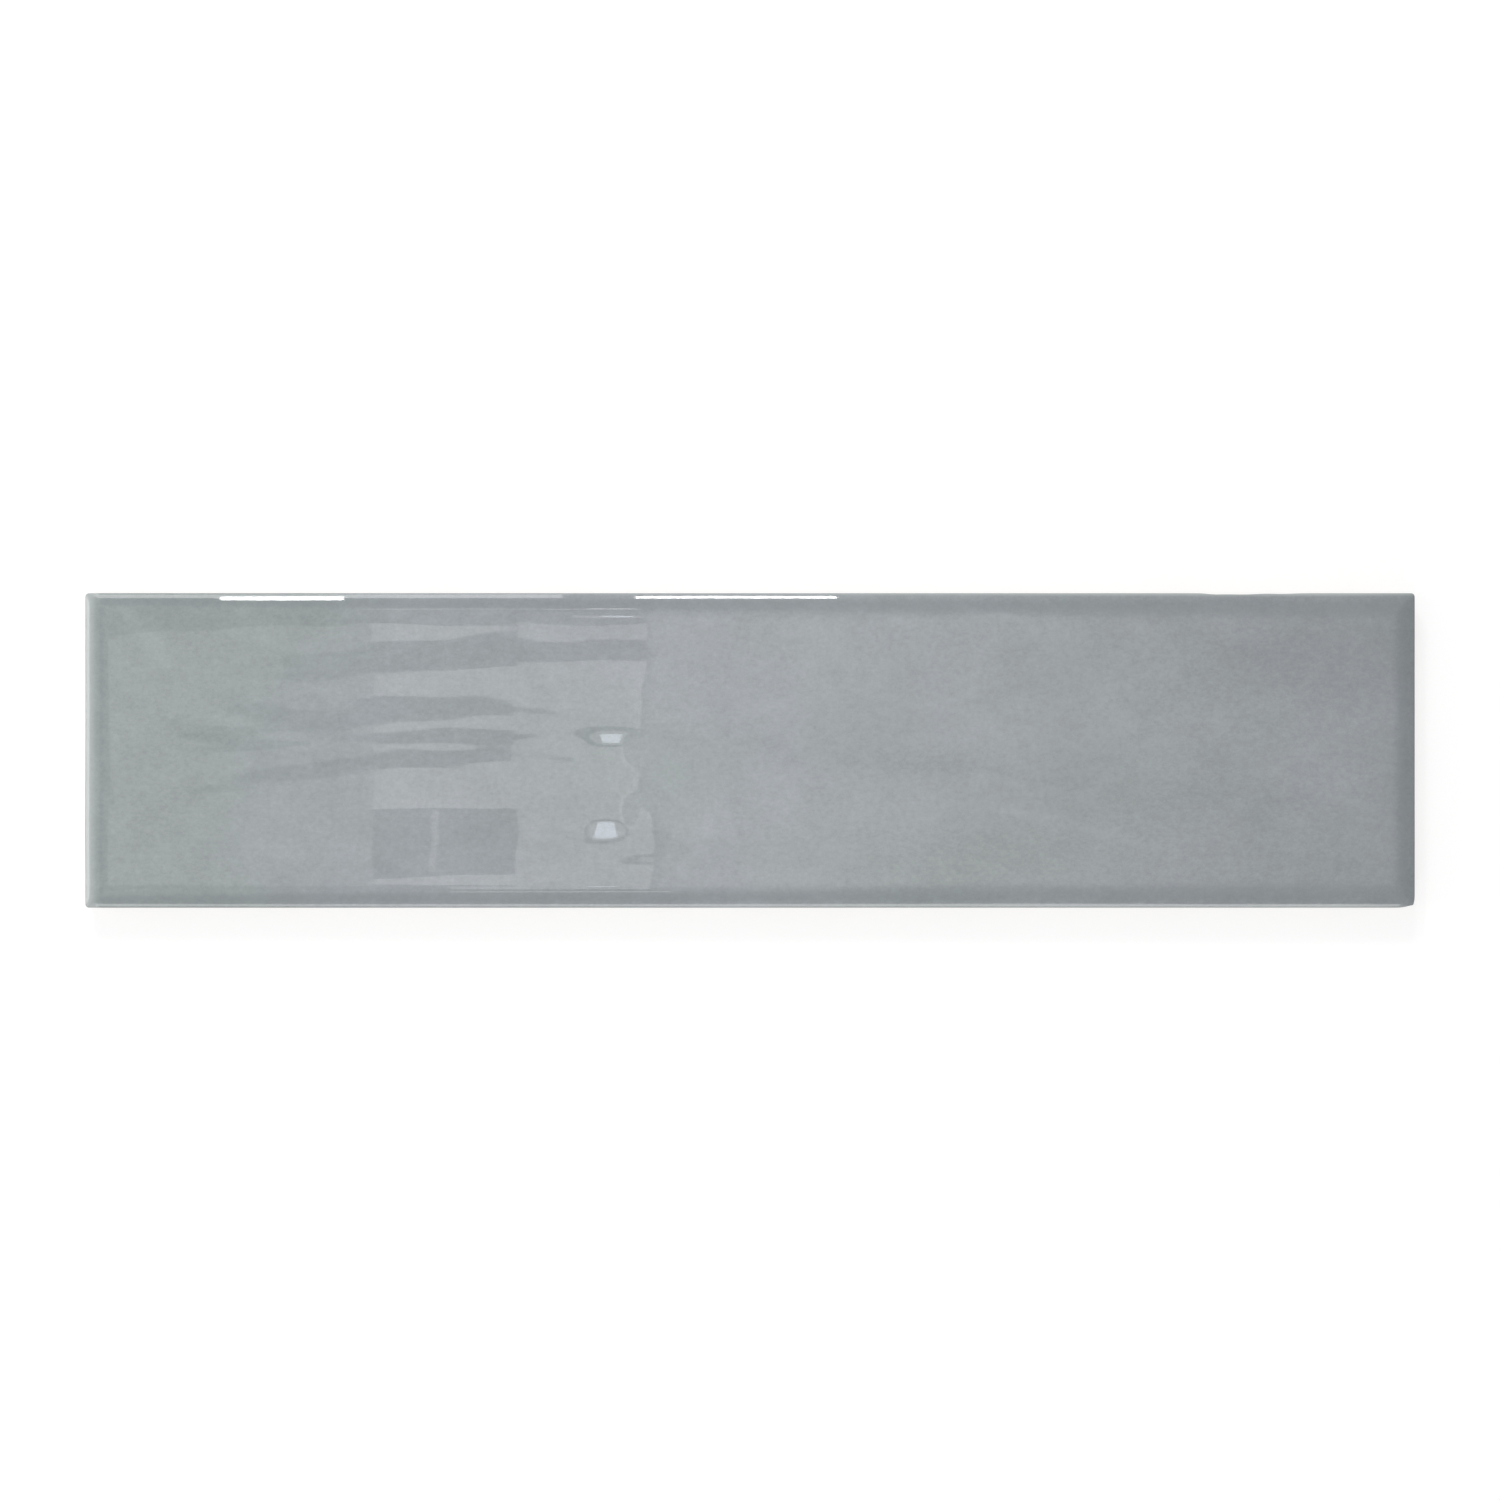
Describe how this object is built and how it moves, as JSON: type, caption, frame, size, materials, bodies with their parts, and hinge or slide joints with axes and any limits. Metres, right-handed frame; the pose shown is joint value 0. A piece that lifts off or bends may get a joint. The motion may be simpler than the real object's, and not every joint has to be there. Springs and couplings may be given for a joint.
{
  "type": "glazed wall tile",
  "caption": "Long narrow glossy grey wall tile in a hand-made style, with a cushioned edge, a gently waved face and a ribbed back.",
  "frame": {"origin": "middle of the back face, which lies on the floor or against the wall", "axes": "+X along the tile's length, +Y across its width, +Z out of the glazed face"},
  "size_m": [0.3, 0.071, 0.0087],
  "materials": {
    "glaze": "gloss glaze over pale biscuit"
  },
  "bodies": {
    "root": {"glazed_tile": "glaze"}
  },
  "joints": []
}
